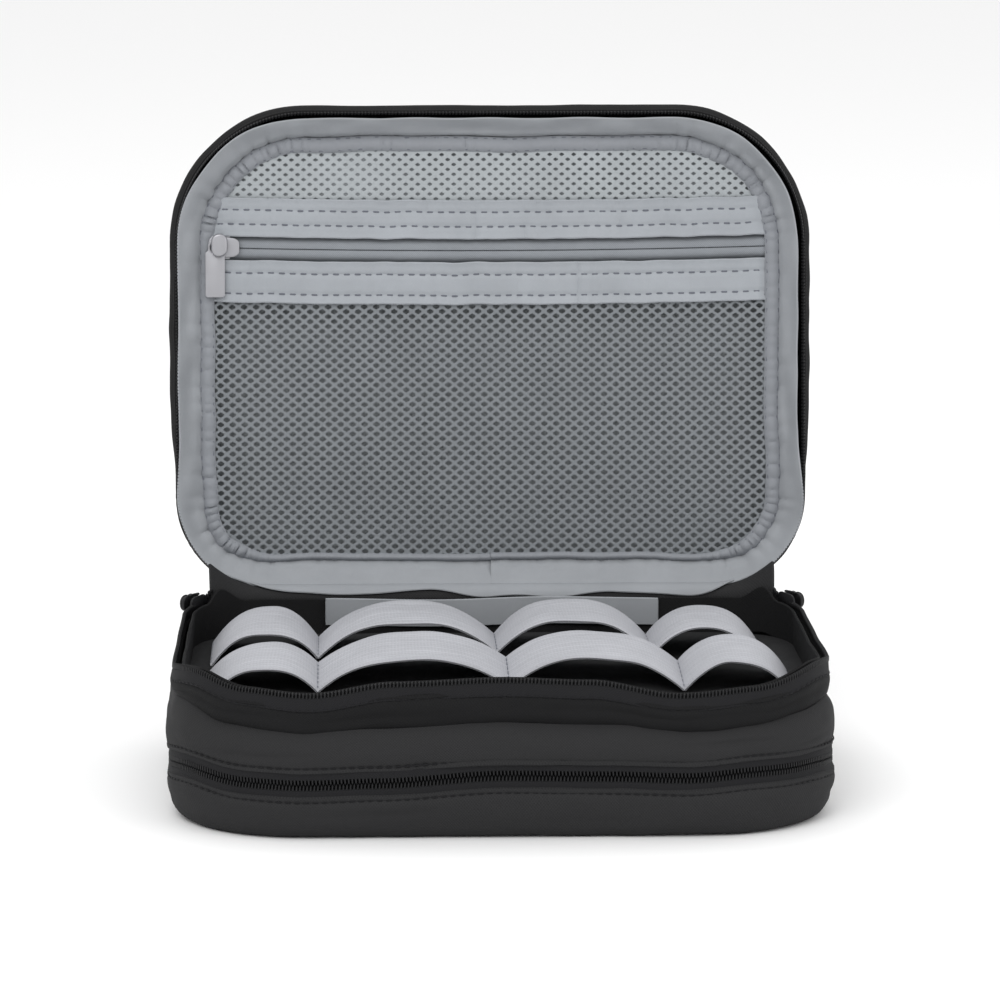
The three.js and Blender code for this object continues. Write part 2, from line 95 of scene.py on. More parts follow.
# ---- Outline ----
class Outline:
    def __init__(self, front, rear):
        w, fr, rr = HALF_WIDTH, FRONT_RADIUS, REAR_RADIUS
        side, quarter = rear - front - fr - rr, pi / 2
        self.runs = [
            (w - rr, "line", 0, rear, -1, 0),
            (rr * quarter, "arc", rr - w, rear - rr, rr, quarter),
            (side, "line", -w, rear - rr, 0, -1),
            (fr * quarter, "arc", fr - w, front + fr, fr, 2 * quarter),
            (2 * (w - fr), "line", fr - w, front, 1, 0),
            (fr * quarter, "arc", w - fr, front + fr, fr, 3 * quarter),
            (side, "line", w, front + fr, 0, 1),
            (rr * quarter, "arc", w - rr, rear - rr, rr, 0),
            (w - rr, "line", w - rr, rear, -1, 0),
        ]
        self.length = sum(run[0] for run in self.runs)
        self.end = w - rr + rr * radians(ZIP_END)

    def at(self, s):
        """x, y and the outward normal."""
        s = min(s % self.length, self.length - 1e-6)
        for length, kind, a, b, c, d in self.runs:
            if s <= length:
                break
            s -= length
        if kind == "line":
            return a + c * s, b + d * s, d, -c
        angle = d + s / c
        return a + c * cos(angle), b + c * sin(angle), cos(angle), sin(angle)

    def around(self, u, v):
        """s at a point of the edge of a square from -1 to 1, whose corners lie at the middles of the arcs."""
        lengths = [run[0] for run in self.runs]
        back = lengths[0] + lengths[1] / 2
        front = sum(lengths[:3]) + lengths[3] / 2
        if abs(v) >= abs(u):
            return -u * back if v > 0 else self.length / 2 + u * (self.length / 2 - front)
        s = back + (1 - v) / 2 * (front - back)
        return s if u < 0 else -s

    def stations(self, stretch, step=2.5):
        first, last = {
            "all": (0, self.length),
            "zip": (self.end, self.length - self.end),
            "rear": (-self.end - PAST_ZIP, self.end + PAST_ZIP),
        }[stretch]
        return np.linspace(first, last, round((last - first) / step) + 1)


TRAY = Outline(-HALF_DEPTH, HALF_DEPTH)
LID = Outline(-LID_HEIGHT, 0)


def drift(x, y, z):
    """Smooth noise, about -1 to 1."""
    return noise.noise(Vector((x, y, z)))


def eased(s, table):
    """A smooth value round the outline, through pairs of s and value."""
    s %= TRAY.length
    for (s0, v0), (s1, v1) in zip(table, table[1:]):
        if s <= s1:
            t = (s - s0) / (s1 - s0)
            return v0 + (v1 - v0) * t * t * (3 - 2 * t)
    return table[-1][1]


# The cloth sags and is pulled up: how far each level of the tray's wall rises, and how far its rim leans in.
LOWER_LIFT = [
    (0, 0), (200, 0), (242, 0.8), (272, 2.8), (300, 0.6), (324, 0.2), (350, 0.9), (395, 3.5), (433, 3.0),
    (461, 2.2), (485, 3.6), (512, 3.2), (548, 1), (600, 0), (791, 0),
]
SEAM_LIFT = [
    (0, 0), (140, 0), (200, 2.5), (245, 6), (262, 6.5), (292, 1.2), (324, -1), (350, 0.5), (395, 2.7),
    (430, 1.8), (463, -0.6), (487, 1), (510, 2.4), (532, 4), (560, 3), (650, 0), (791, 0),
]
RIM_LIFT = [
    (0, 0), (97, 0), (111, 5.5), (120, 0.5), (140, 0), (200, -0.5), (240, 0.3), (275, 3.6), (300, -0.6),
    (326, -2.2), (356, 1.8), (395, 3.2), (426, 2.2), (458, -2.8), (487, -1), (522, 4), (550, 1.8),
    (600, 0), (650, 0), (671, 0.5), (680, 5.5), (694, 0), (791, 0),
]
RIM_LEAN = [
    (0, 0), (97, 0), (112, 1.2), (144, 3), (190, 2.2), (240, 1.6), (290, 0.3), (500, 0.3), (548, 1.6),
    (600, 2.2), (646, 3), (679, 1.2), (694, 0), (791, 0),
]
LEAN_Z = 31  # the rim leans in from here up


def tray_point(s, inset, z):
    x, y, nx, ny = TRAY.at(s)
    low, seam, rim = (eased(s, table) for table in (LOWER_LIFT, SEAM_LIFT, RIM_LIFT))
    z += np.interp(z, [2, 12, 27, SEAM_Z, RIM_Z - 7, RIM_Z], [0, low, low, seam, rim, rim])
    inset += eased(s, RIM_LEAN) * np.clip((z - LEAN_Z) / (RIM_Z - LEAN_Z), 0, 1)
    return np.array([x - nx * inset, y - ny * inset, z])


LID_PLACE = Matrix.Translation((0, HINGE_Y, RIM_Z)) @ Matrix.Rotation(-LID_OPEN, 4, "X")


def from_lid(x, height, depth):
    """A point of the lid, by its height above the hinge line and its depth behind the rim."""
    return np.array(LID_PLACE @ Vector((x, -height, depth)))


def lid_point(s, inset, depth):
    x, y, nx, ny = LID.at(s)
    return from_lid(x - nx * inset, -(y - ny * inset), depth)


def crown(x, y):
    return FLOOR_CROWN * (1 - (x / HALF_WIDTH) ** 2) * (1 - (y / HALF_DEPTH) ** 2)


# ---- Meshes ----
SPAN_STEPS = 12  # of a smooth line, between two of its given points
EDGE_BULGE = 0.42  # how far the round edge of a cloth stands out, as a share of its thickness
WELT_SIDES, PILL_SIDES, STITCH_SIDES = 8, 6, 5


def lengths_along(line):
    """How far each point of a line is from its start."""
    return np.concatenate([[0], np.cumsum(np.linalg.norm(np.diff(line, axis=0), axis=1))])


def smooth_line(points, count):
    """A line through the points, rounded off and sampled evenly."""
    p = np.array(points, float)
    p = np.concatenate([2 * p[:1] - p[1:2], p, 2 * p[-1:] - p[-2:-1]])
    fine = []
    for k in range(1, len(p) - 2):
        a, b, c, d = p[k - 1 : k + 3]
        square, cube = 2 * a - 5 * b + 4 * c - d, 3 * b - a - 3 * c + d
        for t in np.linspace(0, 1, SPAN_STEPS, endpoint=k == len(p) - 3):
            fine.append(0.5 * (2 * b + (c - a) * t + square * t**2 + cube * t**3))
    fine = np.array(fine)
    along = lengths_along(fine)
    even = np.linspace(0, along[-1], count)
    return np.stack([np.interp(even, along, fine[:, k]) for k in range(fine.shape[1])], -1)


def directions(grid, closed):
    if closed:
        wrapped = np.concatenate([grid[-2:-1], grid, grid[1:2]])
        across = (wrapped[2:] - wrapped[:-2]) / 2
    else:
        across = np.gradient(grid, axis=0)
    down = np.gradient(grid, axis=1)
    unit = lambda v: v / np.maximum(np.linalg.norm(v, axis=-1, keepdims=True), 1e-9)
    return unit(across), unit(down), unit(np.cross(across, down))


def rumple(grid, amount, size, seed, closed):
    """Pushes the cloth in and out by smooth noise, whose swells have this size along x, y and z."""
    normal = directions(grid, closed)[2]
    push = [noise.noise(Vector(p / size) + Vector((seed, 0.3, 0.7))) for p in grid.reshape(-1, 3)]
    return grid + amount * np.array(push).reshape(grid.shape[:2])[..., None] * normal


class Build:
    """Collects the points, faces and cloth coordinates (millimetres) of one piece."""

    def __init__(self):
        self.points, self.faces, self.uvs = [], [], []

    def add(self, points, faces, uvs=None):
        base = len(self.points)
        self.points += [tuple(p) for p in points]
        self.uvs += [(p[0], p[2]) for p in points] if uvs is None else [tuple(uv) for uv in uvs]
        self.faces += [tuple(base + k for k in face) for face in faces]
        return self

    def cloth(self, grid, thickness, closed=False, uv=None, flat_normal=None):
        """A sheet of cloth through a grid of points, with round edges. closed joins its two ends. uv is
        measured along the grid unless it is given, and flat_normal is for a sheet that is almost flat."""
        grid = np.array(grid, float)
        n, m = grid.shape[:2]
        across, down, normal = directions(grid, closed)
        if flat_normal is not None:
            normal = np.broadcast_to(np.array(flat_normal, float), grid.shape)
        if uv is None:
            u = np.linalg.norm(np.diff(grid, axis=0), axis=2).mean(1)
            v = np.linalg.norm(np.diff(grid, axis=1), axis=2).mean(0)
            u, v = (np.concatenate([[0], np.cumsum(w)]) for w in (u, v))
            uv = np.stack(np.meshgrid(u, v, indexing="ij"), -1)
        side = n * m
        half = normal * thickness / 2
        points = [*(grid + half).reshape(-1, 3), *(grid - half).reshape(-1, 3)]
        uvs = [*uv.reshape(-1, 2)] * 2
        at = lambda i, j: i * m + j
        faces = []
        for i in range(n - 1):
            for j in range(m - 1):
                quad = (at(i, j), at(i + 1, j), at(i + 1, j + 1), at(i, j + 1))
                if (i, j) in ((n - 2, 0), (0, m - 2)):
                    quad = quad[1:] + quad[:1]  # so that it is split from the sheet's corner
                faces += [quad, tuple(side + quad[k] for k in (0, 3, 2, 1))]
        first, last = [(i, 0) for i in range(n)], [(i, m - 1) for i in range(n)]
        if closed:
            loops = [first, last]
        else:
            ends = [(n - 1, j) for j in range(1, m - 1)], [(0, j) for j in range(m - 2, 0, -1)]
            loops = [first + ends[0] + last[::-1] + ends[1] + first[:1]]
        for loop in loops:
            edge = []
            for i, j in loop:
                out = (j == m - 1) * down[i, j] - (j == 0) * down[i, j]
                if not closed:
                    out = out + (i == n - 1) * across[i, j] - (i == 0) * across[i, j]
                if flat_normal is not None:
                    out = grid[i, j] - grid.mean(axis=(0, 1))
                edge.append(len(points))
                points.append(grid[i, j] + out / max(np.linalg.norm(out), 1e-9) * thickness * EDGE_BULGE)
                uvs.append(uv[i, j])
            for k in range(len(loop) - 1):
                a, b = at(*loop[k]), at(*loop[k + 1])
                faces += [(a, b, edge[k + 1], edge[k]), (edge[k], edge[k + 1], side + b, side + a)]
        return self.add(points, faces, uvs)

    def welt(self, line, radius):
        """A round edging along a line whose ends meet."""
        line = np.array(line, float)
        ahead = np.gradient(line, axis=0)
        ahead[0] = ahead[-1] = line[1] - line[-2]
        points, uvs = [], []
        for p, t, u in zip(line, ahead, lengths_along(line)):
            t = t / np.linalg.norm(t)
            a = np.cross(t, (0, 0, 1) if abs(t[2]) < 0.9 else (1, 0, 0))
            a /= np.linalg.norm(a)
            b = np.cross(t, a)
            for k in range(WELT_SIDES):
                turn = 2 * pi * k / WELT_SIDES
                points.append(p + radius * (cos(turn) * a + sin(turn) * b))
                uvs.append((u, radius * turn))
        faces = []
        for here in range(0, len(points) - WELT_SIDES, WELT_SIDES):
            for k in range(WELT_SIDES):
                n, there = (k + 1) % WELT_SIDES, here + WELT_SIDES
                faces.append((here + k, here + n, there + n, there + k))
        return self.add(points, faces, uvs)

    def pill(self, start, end, radius, flat=1.0, side=None, sides=PILL_SIDES):
        """A short rounded rod, such as a stitch or a tooth. flat narrows it along side."""
        start, end = np.array(start, float), np.array(end, float)
        t = end - start
        t /= np.linalg.norm(t)
        a = np.array(side if side is not None else np.cross(t, (0.3, 0.2, 1)), float)
        a -= a.dot(t) * t
        a /= np.linalg.norm(a)
        b = np.cross(t, a)
        ring = [
            radius * (cos(2 * pi * k / sides) * a * flat + sin(2 * pi * k / sides) * b)
            for k in range(sides)
        ]
        shoulder = t * min(radius, np.linalg.norm(end - start) * 0.3)
        points = [start, *(start + shoulder + r for r in ring), *(end - shoulder + r for r in ring), end]
        tip = 2 * sides + 1
        faces = []
        for k in range(sides):
            a0, a1 = 1 + k, 1 + (k + 1) % sides
            faces += [(0, a1, a0), (a0, a1, a1 + sides, a0 + sides), (a0 + sides, a1 + sides, tip)]
        return self.add(points, faces)

    def stitches(self, line, pitch=STITCH_PITCH, radius=0.3, share=0.68):
        """Dashes of thread along a line of points."""
        line = np.array(line, float)
        along = lengths_along(line)
        place = lambda d: np.array([np.interp(d, along, line[:, k]) for k in range(3)])
        for k in range(int(along[-1] / pitch)):
            self.pill(place(k * pitch), place((k + share) * pitch), radius, sides=STITCH_SIDES)
        return self

    def block(self, place, outline, low, high, bevel, segments=2):
        """A flat shape between two heights, with its edges rounded, put in place by a matrix."""
        bm = bmesh.new()
        raised(bm, [bm.faces.new([bm.verts.new((x, y, low)) for x, y in outline])], high - low)
        return self.add(*rounded_off(bm, bm.edges, bevel, segments, place))

    def holed(self, place, outline, hole, low, high, bevel):
        """The same with a hole through it."""
        bm = bmesh.new()
        edges = []
        for loop in (outline, hole):
            verts = [bm.verts.new((x, y, low)) for x, y in loop]
            edges += [bm.edges.new((verts[k], verts[(k + 1) % len(verts)])) for k in range(len(verts))]
        filled = bmesh.ops.triangle_fill(bm, use_beauty=True, use_dissolve=False, edges=edges)
        raised(bm, [g for g in filled["geom"] if isinstance(g, bmesh.types.BMFace)], high - low)
        bmesh.ops.recalc_face_normals(bm, faces=bm.faces)
        rims = [e for e in bm.edges if len(e.link_faces) == 2 and e.calc_face_angle(0) > 1]
        return self.add(*rounded_off(bm, rims, bevel, 2, place))


def raised(bm, faces, rise):
    top = bmesh.ops.extrude_face_region(bm, geom=faces)
    verts = [v for v in top["geom"] if isinstance(v, bmesh.types.BMVert)]
    bmesh.ops.translate(bm, vec=(0, 0, rise), verts=verts)


def rounded_off(bm, edges, bevel, segments, place):
    """Bevels the level ones of the edges. Gives the points, put in place, and the faces."""
    level = [e for e in edges if abs(e.verts[0].co.z - e.verts[1].co.z) < 1e-6]
    bmesh.ops.bevel(bm, geom=level, offset=bevel, segments=segments, affect="EDGES", profile=0.5)
    bm.verts.index_update()
    made = [place @ v.co for v in bm.verts], [[v.index for v in f.verts] for f in bm.faces]
    bm.free()
    return made


def placed(name, data):
    obj = bpy.data.objects.new(name, data)
    bpy.context.collection.objects.link(obj)
    return obj


def piece(name, build, material, body, replaced=(), slot=None, sharp=40):
    """Makes the mesh, in metres. body is None for a piece that is left without a body."""
    mesh = bpy.data.meshes.new(name)
    mesh.from_pydata([tuple(c * MM for c in p) for p in build.points], [], build.faces)
    uv = mesh.uv_layers.new(name="cloth")
    order = np.empty(len(mesh.loops), int)
    mesh.loops.foreach_get("vertex_index", order)
    uv.data.foreach_set("uv", np.array(build.uvs, float)[order].ravel())
    bm = bmesh.new()
    bm.from_mesh(mesh)
    bmesh.ops.remove_doubles(bm, verts=bm.verts, dist=1e-6)
    bmesh.ops.recalc_face_normals(bm, faces=bm.faces)
    bm.to_mesh(mesh)
    bm.free()
    mesh.shade_smooth()
    mesh.set_sharp_from_angle(angle=radians(sharp))
    mesh.materials.append(material)
    obj = placed(name, mesh)
    slot or material["slot"]
    if replaced:
        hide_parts(*replaced)
    if body:
        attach(obj, body)
    return obj


# ---- Materials ----
def node(tree, kind, inputs=(), **settings):
    made = tree.nodes.new(kind)
    for key, value in settings.items():
        setattr(made, key, value)
    for key, value in dict(inputs).items():
        if isinstance(value, bpy.types.NodeSocket):
            tree.links.new(value, made.inputs[key])
        else:
            made.inputs[key].default_value = value
    return made


def srgb(colour):
    lift = lambda c: c / 255 / 12.92 if c <= 10 else ((c / 255 + 0.055) / 1.055) ** 2.4
    return tuple(lift(c) for c in colour)


def material(
    name, colour, roughness, weave="none", pitch=0.9, depth=0.12, metallic=0.0, shade=0.25, gloss=0.2,
    slot=None,
):
    """A cloth or metal. pitch and depth of its weave are in millimetres, shade is how much the colour is
    darkened in the hollows of the weave, which is painted shade, and in its fine random grain, and slot is
    given where several looks share one."""
    made = bpy.data.materials.new(f"{name}_look")
    made["slot"] = slot or name
    made.use_nodes = True
    tree = made.node_tree
    bsdf = tree.nodes["Principled BSDF"]
    bsdf.inputs["Metallic"].default_value = metallic
    bsdf.inputs["Specular IOR Level"].default_value = gloss
    place = node(tree, "ShaderNodeTexCoord").outputs["Object"]
    speckle = lambda scale, detail: node(
        tree, "ShaderNodeTexNoise", {"Vector": place, "Scale": scale, "Detail": detail, "Roughness": 0.6}
    ).outputs["Fac"]
    maths = lambda kind, *values: node(tree, "ShaderNodeMath", enumerate(values), operation=kind).outputs[0]
    blotch, grain = speckle(55.0, 3.0), speckle(1800.0, 2.0)
    if weave == "none":
        height = grain
    else:
        uv = node(tree, "ShaderNodeUVMap", uv_map="cloth").outputs[0]
        split = node(tree, "ShaderNodeSeparateXYZ", {0: uv}).outputs
        wave = lambda value, size: maths("SINE", maths("MULTIPLY", value, 2 * pi / size))
        if weave == "plain":
            height = maths("MULTIPLY", wave(split[0], pitch), wave(split[1], pitch))
        elif weave == "ribs":
            fine = maths("MULTIPLY", wave(split[0], pitch * 0.55), 0.35)
            height = maths("ADD", wave(split[1], pitch), fine)
        else:
            height = wave(maths("ADD", split[0], split[1]), pitch)
        height = maths("MULTIPLY_ADD", height, 0.4, 0.5)
        height = maths("MULTIPLY_ADD", grain, 0.5, maths("SUBTRACT", height, 0.25))
    # The colour is darkened where the height is low: painted shade in the weave's hollows, together with
    # random fine grain.
    tone = maths("MULTIPLY_ADD", height, shade, 1 - shade * 0.75)
    tone = maths("MULTIPLY", tone, maths("MULTIPLY_ADD", blotch, 0.24, 0.88))
    base = node(tree, "ShaderNodeVectorMath", {0: srgb(colour), 1: tone}, operation="MULTIPLY").outputs[0]
    tree.links.new(base, bsdf.inputs["Base Color"])
    rough = maths("MULTIPLY_ADD", blotch, 0.16, roughness - 0.08)
    tree.links.new(rough, bsdf.inputs["Roughness"])
    bump = node(tree, "ShaderNodeBump", {"Height": height, "Strength": 0.8, "Distance": depth * MM})
    tree.links.new(bump.outputs[0], bsdf.inputs["Normal"])
    return made


WALL_CLOTH = dict(weave="plain", pitch=1.1, depth=0.16, shade=0.45, slot="black_cloth")
FINE_CLOTH = dict(weave="plain", pitch=0.6, depth=0.06, shade=0.14, slot="grey_lining")
BLACK = material("black_cloth", (43, 43, 44), 0.85, **WALL_CLOTH)
# A darker copy of the black wall cloth, for the upper wall and the lid's side: painted shade.
UPPER_BLACK_PAINTED_SHADE = material("upper_black_cloth_painted_shade", (22, 22, 23), 0.85, **WALL_CLOTH)
BLACK_LINING = material("black_lining", (30, 30, 32), 0.85, weave="plain", pitch=0.7, depth=0.05)
BLACK_TAPE = material("black_zip_tape", (27, 27, 29), 0.8, weave="twill", pitch=1.0, depth=0.12)
BLACK_COIL = material("black_zip_coil", (17, 17, 19), 0.55, depth=0.03, gloss=0.3)
BLACK_THREAD = material("black_thread", (24, 24, 26), 0.7, depth=0.05, slot="black_zip_tape")
GREY = material("grey_lining", (156, 160, 165), 0.7, **FINE_CLOTH)
# A slightly darker copy of the grey lining, for the lining ring, the spine panel and the hinge's lining:
# painted shade.
RING_GREY_PAINTED_SHADE = material("ring_grey_lining_painted_shade", (149, 152, 156), 0.7, **FINE_CLOTH)
# A darker copy of the grey lining for the pocket's binding: painted shade.
BINDING_GREY_PAINTED_SHADE = material("binding_grey_lining_painted_shade", (136, 139, 144), 0.7, **FINE_CLOTH)
DEEP_GREY = material("deep_grey_lining", (138, 142, 145), 0.75, **FINE_CLOTH)
GREY_THREAD = material("grey_thread", (108, 111, 119), 0.7, depth=0.05, slot="grey_lining")
GREY_TAPE = material("grey_zip_tape", (137, 141, 146), 0.75, weave="twill", pitch=0.8, depth=0.08)
GREY_COIL = material("grey_zip_coil", (110, 113, 117), 0.5, depth=0.03, gloss=0.4)
ELASTIC = material("grey_elastic", (172, 173, 178), 0.8, weave="ribs", pitch=2.2, depth=0.16, shade=0.16)
NET = material("grey_mesh", (122, 126, 130), 0.65, depth=0.06, gloss=0.3)
PALE_NET = material("pale_grey_mesh", (160, 165, 168), 0.65, depth=0.06, gloss=0.3, slot="grey_mesh")
FOAM = material("foam", (74, 74, 76), 0.95, depth=0.3)
SILVER = material("silver_metal", (160, 160, 164), 0.4, depth=0.01, metallic=0.7, shade=0.05, gloss=0.5)
BLACK_METAL = material("black_metal", (28, 28, 30), 0.42, depth=0.01, metallic=0.5, gloss=0.4)


# ---- Shared shapes ----
CREASE_HALF = 1.5  # half the width of a crease
PLATE_STEPS = (71, 55)
SWELL_FRAMES, SWELL_PRESSURE = 20, 4  # of the cloth simulation
PINNED_CELLS = 3  # the edge, and the small cells in the corners


def bell(distance, reach):
    """1 at no distance, falling off smoothly."""
    return exp(-((distance / reach) ** 2))


def pressed(s, z, creases):
    """How deep the creases are at s and z. Each has its s and z, its half length, depth and slope."""
    return sum(
        depth * exp(-(((s - s0) / reach) ** 2) - ((z - z0 - slope * (s - s0)) / CREASE_HALF) ** 2)
        for s0, z0, reach, depth, slope in creases
    )


def wall(build, point, outline, line, thickness, count, stretch="all", folds=0.0, seed=0.0, creases=()):
    """A band of cloth that follows the outline. line goes through (inset, height), sampled count times."""
    closed = stretch == "all"
    profile = smooth_line(line, count)
    grid = np.array(
        [[point(s, i + pressed(s, z, creases), z) for i, z in profile] for s in outline.stations(stretch)]
    )
    if folds:
        grid = rumple(grid, folds, (34, 34, 11), seed, closed)
        grid = rumple(grid, folds * 0.45, (11, 11, 7), seed + 5, closed)
    grid[..., 2] = np.maximum(grid[..., 2], thickness / 2)
    return build.cloth(grid, thickness, closed=closed)


def puff(flat, amount, held):
    """Lets Blender's cloth swell the sheet from inside. It is held at its edge and wherever held(x, y) is
    true, and the highest point rises by amount."""
    n, m = flat.shape[:2]
    at = lambda i, j: i * m + j
    cells = [(i, j) for i in range(n - 1) for j in range(m - 1)]
    quads = [(at(i, j), at(i + 1, j), at(i + 1, j + 1), at(i, j + 1)) for i, j in cells]
    mesh = bpy.data.meshes.new("puff")
    mesh.from_pydata((flat.reshape(-1, 3) * MM).tolist(), [], quads)
    trial = placed("puff", mesh)
    edge = lambda i, j: min(i, n - 1 - i) * min(j, m - 1 - j) <= PINNED_CELLS
    pinned = [at(i, j) for i in range(n) for j in range(m) if edge(i, j) or held(*flat[i, j, :2])]
    trial.vertex_groups.new(name="held").add(pinned, 1, "REPLACE")
    settings = trial.modifiers.new("cloth", "CLOTH").settings
    settings.vertex_group_mass = "held"
    settings.use_pressure = True
    settings.uniform_pressure_force = SWELL_PRESSURE
    settings.shrink_min = -0.03
    settings.effector_weights.gravity = 0
    for step in range(SWELL_FRAMES):
        bpy.context.scene.frame_set(step + 1)
    settled = trial.evaluated_get(bpy.context.evaluated_depsgraph_get())
    points = np.array([v.co for v in settled.data.vertices]).reshape(n, m, 3) / MM
    bpy.data.objects.remove(trial)
    bpy.context.scene.frame_set(1)
    return flat + (points - flat) * amount / np.abs(points - flat).max()


def plate(
    lift, inset, height, thickness, outline=TRAY, place=None, folds=0.0, size=30, swell=0.0,
    held=lambda x, y: False,
):
    """A filled sheet. lift gives its rise over height at (x, y, share of the way to the edge). size is the
    width of its folds, and swell and held are for puff."""
    middle = (outline.runs[0][3] + outline.runs[4][3]) / 2
    rows = []
    for u in np.linspace(-1, 1, PLATE_STEPS[0]):
        row = []
        for v in np.linspace(-1, 1, PLATE_STEPS[1]):
            share = max(abs(u), abs(v), 1e-6)
            x, y, nx, ny = outline.at(outline.around(u / share, v / share))
            even = 1 - share**3
            px = (x - nx * inset) * share * (1 - even) + u * (HALF_WIDTH - inset) * even
            py = (y - ny * inset - middle) * share * (1 - even) + v * (HALF_DEPTH - inset) * even + middle
            fold = drift(px / size, py / size, height)
            fold += 0.4 * drift(px * 3 / size, py * 3 / size, height)
            row.append((px, py, height + lift(px, py, share) + folds * fold))
        rows.append(row)
    flat = np.array(rows)
    if swell:
        flat = puff(flat, swell, held)
    if place is None:
        return Build().cloth(flat, thickness, uv=flat[..., :2], flat_normal=(0, 0, 1))
    grid = np.array([[place @ Vector(p) for p in row] for row in flat])
    return Build().cloth(grid, thickness, uv=flat[..., :2], flat_normal=place.to_3x3() @ Vector((0, 0, 1)))


def dome(rise):
    return lambda x, y, share: rise * (1 - share**4)


def zip_half(name, point, outline, z, side, body):
    """A tape with its row of teeth, meeting the other half at height z. side is 1 for the half above it."""
    line = [(TAPE_INSET, z + side * 2.0), (TAPE_INSET, z + side * 6.6)]
    tape = wall(Build(), point, outline, line, 0.75, 5, "zip")
    piece(f"{name}_tape", tape, BLACK_TAPE, body, [f"{name}_tape"])
    teeth = Build()
    first, last = outline.end, outline.length - outline.end
    offset = 0.25 if side > 0 else 0.75
    for k in range(int((last - first) / TOOTH_PITCH) - 1):
        s = first + (k + offset) * TOOTH_PITCH
        low, high = point(s, CHAIN_INSET, z + side * 2.6), point(s + 0.25, CHAIN_INSET, z - side * 0.3)
        nx, ny = outline.at(s)[2:]
        teeth.pill(low, high, 0.78, flat=0.62, side=(-ny, nx, 0))
    piece(f"{name}_coil", teeth, BLACK_COIL, body, [f"{name}_coil"])


def edge_stitches(name, point, outline, inset, z, body):
    line = [point(s, inset, z) for s in outline.stations("all", 1.1)]
    piece(f"{name}_stitches", Build().stitches(line), BLACK_THREAD, body)


# ---- Lower tray ----
skin = wall(
    Build(), tray_point, TRAY,
    [
        (11, 0.95), (7, 1.3), (4.2, 3.3), (2.4, 7), (1.5, 10.6), (1.4, 12.6), (2.0, 13.9), (1.5, 14.7),
        (1.7, 15.3),
    ],
    1.7, 24, folds=0.75,
    creases=[
        (262, 8, 18, 0.8, 0.05), (420, 5.5, 40, 0.3, 0), (532, 8, 18, 0.8, -0.05),
        (352, 9, 26, 0.4, 0.02),
    ],
)
wall(skin, tray_point, TRAY, [(5.4, 19.2), (5.3, 12), (5.7, 8), (7.2, 5.6)], 1.0, 7)
piece("lower_skin", skin, BLACK, "lower_tray", ["lower_wall"])
bottom = plate(dome(0.4), 10.4, 0.85, 1.6)
piece("bottom_skin", bottom, BLACK, "lower_tray", ["bottom_panel"])
welt = Build().welt([tray_point(s, 10.4, 1.05) for s in TRAY.stations("all", 3)], 1.0)
piece("bottom_welt", welt, BLACK_TAPE, "lower_tray")
inside = plate(dome(0.5), 6.4, 5.4, 0.8, folds=0.25)
piece("bottom_inside", inside, BLACK_LINING, "lower_tray", ["bottom_lining"])
zip_half("lower_zip_bottom", tray_point, TRAY, LOWER_ZIP_Z, -1, "lower_tray")
edge_stitches("lower_zip_bottom", tray_point, TRAY, 1.0, 13.9, "lower_tray")

# ---- Upper tray ----
middle = wall(
    Build(), tray_point, TRAY,
    [(1.7, 24.7), (1.5, 25.3), (2.0, 26.1), (1.3, 27.5), (0.8, 31), (1.3, 34.5), (2.7, 37.6), (4.2, 39.4)],
    1.7, 24, folds=0.95, seed=2.0,
    creases=[
        (262, 33, 16, 0.9, 0.05), (300, 30, 24, 0.9, 0.06), (478, 33, 18, 1.0, -0.05),
        (516, 29.5, 14, 0.8, 0.1),
    ],
)
wall(middle, tray_point, TRAY, [(5.4, 20.8), (5.4, 26), (5.0, 31), (5.4, 37.5)], 1.0, 7)
piece("middle_skin", middle, BLACK, "upper_tray", ["middle_wall"])
upper = wall(
    Build(), tray_point, TRAY,
    [(5.0, 39.3), (3.4, 41.8), (2.5, 45), (2.0, 48.2), (2.6, 49.6), (2.1, 50.3), (2.3, 50.9)],
    1.5, 20, folds=1.0, seed=4.0,
    creases=[
        (285, 45.5, 28, 0.9, 0.03), (350, 44, 24, 0.6, 0), (440, 45.5, 30, 0.7, 0.02),
        (505, 45.5, 22, 0.9, -0.03),
    ],
)
wall(upper, tray_point, TRAY, [(6.3, 41.8), (5.8, 47), (5.3, 55.2)], 1.1, 8, folds=0.3)
piece("upper_skin", upper, UPPER_BLACK_PAINTED_SHADE, "upper_tray", ["upper_wall"])
zip_half("lower_zip_top", tray_point, TRAY, LOWER_ZIP_Z, 1, "upper_tray")
zip_half("main_zip_base", tray_point, TRAY, RIM_Z, -1, "upper_tray")
edge_stitches("lower_zip_top", tray_point, TRAY, 1.0, 26.1, "upper_tray")
edge_stitches("main_zip_base", tray_point, TRAY, 1.5, 49.6, "upper_tray")

# ---- Divider ----
# It is padded, and dips a little where the elastic is sewn to it. Each row of loops has its near and far
# edge, its seams from left to right, and how high each loop rises at its near and its far edge.
LOOP_ROWS = {
    "front": (-48, 0, [-107, -67, 3, 67, 107], [(54, 54.5), (57.5, 58.5), (58, 59), (56, 56.5)]),
    "rear": (12, 60, [-107, -67, 0, 58, 100], [(56, 57), (60.5, 59.5), (61, 60), (57.5, 57)]),
}


def divider_rise(x, y, share):
    dip = sum(
        bell(x - seam, 3.5)
        for near, far, seams, _ in LOOP_ROWS.values()
        for seam in seams
        if near - 8 < y < far + 8
    )
    return crown(x, y) - 0.7 * dip


def at_loop_seam(x, y):
    return any(
        near < y < far and min(abs(x - seam) for seam in seams) < 2
        for near, far, seams, _ in LOOP_ROWS.values()
    )


